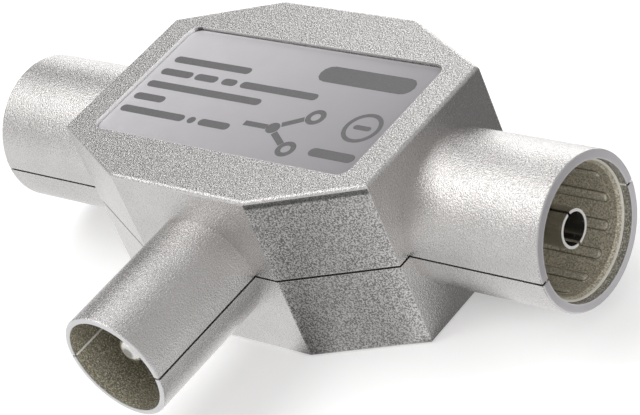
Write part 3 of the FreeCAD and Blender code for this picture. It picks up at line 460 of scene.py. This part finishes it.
casting = casting_material()
sleeve_metal = sleeve_material()
contact_metal = contact_material()
label_metal = label_material()
insulator = plain_material("insulator", (0.75, 0.73, 0.66), 0.45)
board = plain_material("board", (0.05, 0.13, 0.06), 0.4, spots_per_mm=6)
copper = satin_metal("copper", (0.75, 0.73, 0.7), 0.3)
ferrite = plain_material("ferrite", (0.03, 0.03, 0.032), 0.6, spots_per_mm=8, depth=0.03 * MM, contrast=0.6)
winding_wire = satin_metal("winding_wire", (0.55, 0.2, 0.08), 0.25)
resistor = plain_material("resistor", (0.55, 0.42, 0.24), 0.3)
capacitor = plain_material("capacitor", (0.5, 0.22, 0.06), 0.25)
solder = satin_metal("solder", (0.75, 0.75, 0.76), 0.2)
ink = plain_material("label_ink", (0.125, 0.122, 0.126), 0.5, spots_per_mm=8, depth=0.003 * MM)

NODE_MATERIALS = {
    "upper_shell": casting,
    "lower_shell": casting,
    "label_plate": label_metal,
    "left_contact_sleeve": sleeve_metal,
    "right_contact_sleeve": sleeve_metal,
    "left_centre_contact": contact_metal,
    "right_centre_contact": contact_metal,
    "left_socket_insulator": insulator,
    "right_socket_insulator": insulator,
    "plug_pin": contact_metal,
    "plug_insulator": insulator,
    "circuit_board": board,
    "board_tracks": copper,
    "matching_core": ferrite,
    "matching_winding": winding_wire,
    "splitting_core": ferrite,
    "left_splitting_winding": winding_wire,
    "right_splitting_winding": winding_wire,
    "isolation_resistor": resistor,
    "input_capacitor": capacitor,
    "solder_joints": solder,
}

for name, material in NODE_MATERIALS.items():
    mesh = nodes[name].data
    mesh.materials.clear()
    mesh.materials.append(material)


def rounded_bar(x, y, length, height, corners=6):
    """Outline of a bar with round ends, from its left end, in millimetres."""
    radius = height / 2
    points = []
    for end, start in ((x + length - radius, -90), (x + radius, 90)):
        for step in range(corners + 1):
            angle = math.radians(start + 180 * step / corners)
            points.append((end + radius * math.cos(angle), y + radius * math.sin(angle)))
    return points


def circle(x, y, radius, corners=32):
    return [(x + radius * math.cos(2 * math.pi * step / corners),
             y + radius * math.sin(2 * math.pi * step / corners)) for step in range(corners)]


def straight(x0, y0, x1, y1, width):
    """Outline of a straight stroke from one point to another, in millimetres."""
    length = math.hypot(x1 - x0, y1 - y0)
    side_x, side_y = -(y1 - y0) / length * width / 2, (x1 - x0) / length * width / 2
    return [(x0 - side_x, y0 - side_y), (x1 - side_x, y1 - side_y),
            (x1 + side_x, y1 + side_y), (x0 + side_x, y0 + side_y)]


INK_THICKNESS = 0.012 * MM
INK_TOP = LABEL_TOP + INK_THICKNESS


def row_of_corners(drawing, points, height):
    return [drawing.verts.new((x * MM, y * MM, height)) for x, y in points]


def wall(drawing, lower, upper):
    """Faces between two closed rows of corners."""
    for number in range(len(lower)):
        following = (number + 1) % len(lower)
        drawing.faces.new((lower[number], lower[following], upper[following], upper[number]))


def raised(drawing, points):
    """A flat shape of ink that stands on the label."""
    bottom = row_of_corners(drawing, points, LABEL_TOP)
    top = row_of_corners(drawing, points, INK_TOP)
    drawing.faces.new(top)
    wall(drawing, bottom, top)


def raised_ring(drawing, x, y, outer, inner):
    """A ring of ink, given by its middle and two radii."""
    outside, inside = circle(x, y, outer), circle(x, y, inner)
    profile = ((outside, LABEL_TOP), (outside, INK_TOP), (inside, INK_TOP), (inside, LABEL_TOP))
    rows = [row_of_corners(drawing, points, height) for points, height in profile]
    for lower, upper in zip(rows, rows[1:]):
        wall(drawing, lower, upper)


def ink_piece(name, drawing):
    """A drawing as a piece of its own on the label."""
    mesh = bpy.data.meshes.new(name)
    drawing.to_mesh(mesh)
    drawing.free()
    made = bpy.data.objects.new(name, mesh)
    bpy.context.scene.collection.objects.link(made)
    mesh.materials.append(ink)
    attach(made, "root")


# Places and sizes on the label are millimetres. A bar is (left end, y, length, height), and a ring
# (x, y, outer radius, inner radius). Plain bars stand for the printed text: the y of each row, with
# the (left end, length) of its bars.
TEXT_ROWS = (
    (2.8, ((-12.4, 8.5),)),
    (1.18, ((-12.55, 3.5), (-8.75, 2.5), (-5.75, 1.6), (-3.7, 8.2))),
    (-0.45, ((-12.7, 12.5),)),
    (-2.07, ((-12.8, 3.4),)),
    (-3.7, ((-12.9, 7.1), (-5.4, 0.8), (-4.2, 3.3))),
)
BAR_HEIGHT = 0.78
HEADING_BAR = (2.6, 4.0, 9.6, 1.9)

drawing = bmesh.new()
for y, bars in TEXT_ROWS:
    for left_end, length in bars:
        raised(drawing, rounded_bar(left_end, y, length, min(BAR_HEIGHT, length)))
raised(drawing, rounded_bar(*HEADING_BAR))
ink_piece("label_print", drawing)

# A plain picture of a splitter: one line in, a dot where it branches, and a ring at each way out.
# Its places are measured from the dot.
STROKE = 0.55
FORK_X, FORK_Y = 3.1, -2.9
LINE_START, LINE_END = -3.0, -0.64
DOT_RADIUS = 0.62
BRANCH_START, BRANCH_END = (0.52, 0.5), (2.07, 1.52)
WAY_OUT_X, WAY_OUT_Y = 2.9, 1.95
WAY_OUT_RADII = (0.88, 0.42)
# Beside it stand a plain bar, and a ring with a dash in it
SIDE_BAR = (8.2, -4.6, 4.5, 0.95)
SIDE_RING = (10.9, -1.2, 1.7, 1.32)
SIDE_RING_DASH = (10.05, -1.2, 1.7, 0.5)

drawing = bmesh.new()
raised(drawing, straight(FORK_X + LINE_START, FORK_Y, FORK_X + LINE_END, FORK_Y, STROKE))
raised(drawing, circle(FORK_X, FORK_Y, DOT_RADIUS))
for turn in (1, -1):
    raised(drawing, straight(FORK_X + BRANCH_START[0], FORK_Y + BRANCH_START[1] * turn,
                             FORK_X + BRANCH_END[0], FORK_Y + BRANCH_END[1] * turn, STROKE))
    raised_ring(drawing, FORK_X + WAY_OUT_X, FORK_Y + WAY_OUT_Y * turn, *WAY_OUT_RADII)
raised(drawing, rounded_bar(*SIDE_BAR))
raised_ring(drawing, *SIDE_RING)
raised(drawing, rounded_bar(*SIDE_RING_DASH))
ink_piece("label_symbols", drawing)

# The camera sees a pale floor with the object's shadow. Reflections show the floor nearly white,
# apart from three dark patches round the body's right end, which shade the facets that face them.
FLOOR_SIZE = 4
CAMERA_LIFT = 0.25
WHITE_LEVEL = 0.95
DARK_LEVEL = 0.2

# Each edge of a patch fades between two places. The front patch is less dark to the right.
FRONT_PATCH_LEFT = (4.5 * MM, 6.2 * MM)
FRONT_PATCH_LESS_DARK = (7.5 * MM, 9.5 * MM)
FRONT_PATCH_RIGHT = (14 * MM, 16 * MM)
FRONT_PATCH_BACK = (-9 * MM, -6 * MM)
REAR_PATCH_LEFT = (14 * MM, 17 * MM)
REAR_PATCH_FRONT = (-2.5 * MM, -0.5 * MM)
END_PATCH_LEFT = (11 * MM, 13 * MM)
END_PATCH_RIGHT = (21.9 * MM, 23.2 * MM)
END_PATCH_FRONT = (-9 * MM, -7 * MM)
END_PATCH_SLANT = 0.8


def dark_patches(tree):
    """How dark the floor is, up to 1: in front of the body's right end, behind it and beside it."""
    place = separated(tree, place_of(tree))
    east, north = place["X"], place["Y"]
    front = all_of(tree, rising(tree, east, *FRONT_PATCH_LEFT), falling(tree, east, *FRONT_PATCH_RIGHT),
                   falling(tree, north, *FRONT_PATCH_BACK),
                   ranged(tree, east, 0.95, 0.52, *FRONT_PATCH_LESS_DARK))
    rear = all_of(tree, rising(tree, east, *REAR_PATCH_LEFT), rising(tree, north, *REAR_PATCH_FRONT))
    slant = maths(tree, "SUBTRACT", east, maths(tree, "MULTIPLY", north, END_PATCH_SLANT))
    end = all_of(tree, rising(tree, east, *END_PATCH_LEFT), falling(tree, slant, *END_PATCH_RIGHT),
                 rising(tree, north, *END_PATCH_FRONT))
    return any_of(tree, front, rear, end)


def floor_paper():
    material, tree, shader = new_material("floor")
    speckle = noise(tree, 0.02, detail=3)
    paper = blended(tree, ranged(tree, speckle, 0.0, 1.0), (0.88, 0.88, 0.88), (0.86, 0.86, 0.86))
    rays = add(tree, "ShaderNodeLightPath")
    mirrored = any_of(tree, rays.outputs["Is Glossy Ray"], rays.outputs["Is Transmission Ray"])
    tree.links.new(blended(tree, mirrored, paper, (0, 0, 0)), shader.inputs["Base Color"])
    shader.inputs["Roughness"].default_value = 0.9
    shader.inputs["Specular IOR Level"].default_value = 0.0
    patched_level = ranged(tree, dark_patches(tree), WHITE_LEVEL, DARK_LEVEL, 0.0, 1.0)
    mirror_level = all_of(tree, mirrored, patched_level)
    camera_level = maths(tree, "MULTIPLY", rays.outputs["Is Camera Ray"], CAMERA_LIFT)
    shader.inputs["Emission Color"].default_value = (1, 1, 1, 1)
    tree.links.new(maths(tree, "ADD", mirror_level, camera_level), shader.inputs["Emission Strength"])
    return material


bpy.ops.mesh.primitive_plane_add(size=FLOOR_SIZE, location=(0, 0, 0))
floor = bpy.context.object
floor.name = "floor"
floor.data.materials.append(floor_paper())

ROOM_COLOUR = (1.0, 0.99, 0.985)
ROOM_LEVEL = 0.48
MORE_FROM_RIGHT = 0.25
MORE_FROM_FRONT = 0.18


def pale_room():
    """A world that is a little brighter in front and to the right."""
    world = bpy.data.worlds.new("studio")
    world.use_nodes = True
    tree = world.node_tree
    way = separated(tree, add(tree, "ShaderNodeTexCoord").outputs["Generated"])
    from_right = maths(tree, "MULTIPLY", way["X"], MORE_FROM_RIGHT)
    from_front = maths(tree, "MULTIPLY", way["Y"], -MORE_FROM_FRONT)
    level = maths(tree, "ADD", maths(tree, "ADD", from_right, from_front), ROOM_LEVEL)
    background = tree.nodes["Background"]
    background.inputs["Color"].default_value = (*ROOM_COLOUR, 1)
    tree.links.new(level, background.inputs["Strength"])
    return world


bpy.context.scene.world = pale_room()


def softbox(name, azimuth, elevation, width, height, radiance, distance=1.2, in_metal=True):
    """A rectangular lamp that faces the object from an azimuth (0 in front, 90 right) and elevation."""
    turn, rise = math.radians(azimuth), math.radians(elevation)
    away = Vector((math.sin(turn) * math.cos(rise), -math.cos(turn) * math.cos(rise), math.sin(rise)))
    aim = Vector((0, 0, SEAM_HEIGHT))
    lamp = bpy.data.lights.new(name, "AREA")
    lamp.shape = "RECTANGLE"
    lamp.size, lamp.size_y = width, height
    lamp.energy = radiance * math.pi * width * height
    made = bpy.data.objects.new(name, lamp)
    made.location = aim + away * distance
    made.rotation_euler = away.to_track_quat("Z", "Y").to_euler()
    made.visible_glossy = in_metal
    bpy.context.scene.collection.objects.link(made)


softbox("key", azimuth=-71, elevation=56, width=1.25, height=0.8, radiance=2.15)
softbox("top_card", azimuth=-158, elevation=52, width=0.5, height=0.45, radiance=1.3)
softbox("front_card", azimuth=-38, elevation=4, width=1.0, height=0.6, radiance=0.75)
softbox("back_card", azimuth=-155.5, elevation=8, width=1.07, height=0.9, radiance=2.3)
softbox("floor_key", azimuth=-90, elevation=50, width=0.5, height=0.5, radiance=3.0, in_metal=False)
softbox("mouth_card", azimuth=78, elevation=18, width=0.4, height=0.4, radiance=8.0, distance=1.0,
        in_metal=False)

# The camera's place, its turn in degrees and its lens were worked out from the photograph's outlines
CAMERA_PLACE = (0.1401788, -0.1087974, 0.1227540)
CAMERA_TURN = (53.8481, 19.4118, 38.3759)
CAMERA_LENS = 150.17

camera_data = bpy.data.cameras.new("camera")
camera = bpy.data.objects.new("camera", camera_data)
bpy.context.scene.collection.objects.link(camera)
camera_data.sensor_width = 36
camera_data.lens = CAMERA_LENS
camera_data.clip_start, camera_data.clip_end = 0.01, 10
camera.location = CAMERA_PLACE
camera.rotation_euler = [math.radians(angle) for angle in CAMERA_TURN]
bpy.context.scene.camera = camera

bpy.context.scene.view_settings.view_transform = "Standard"
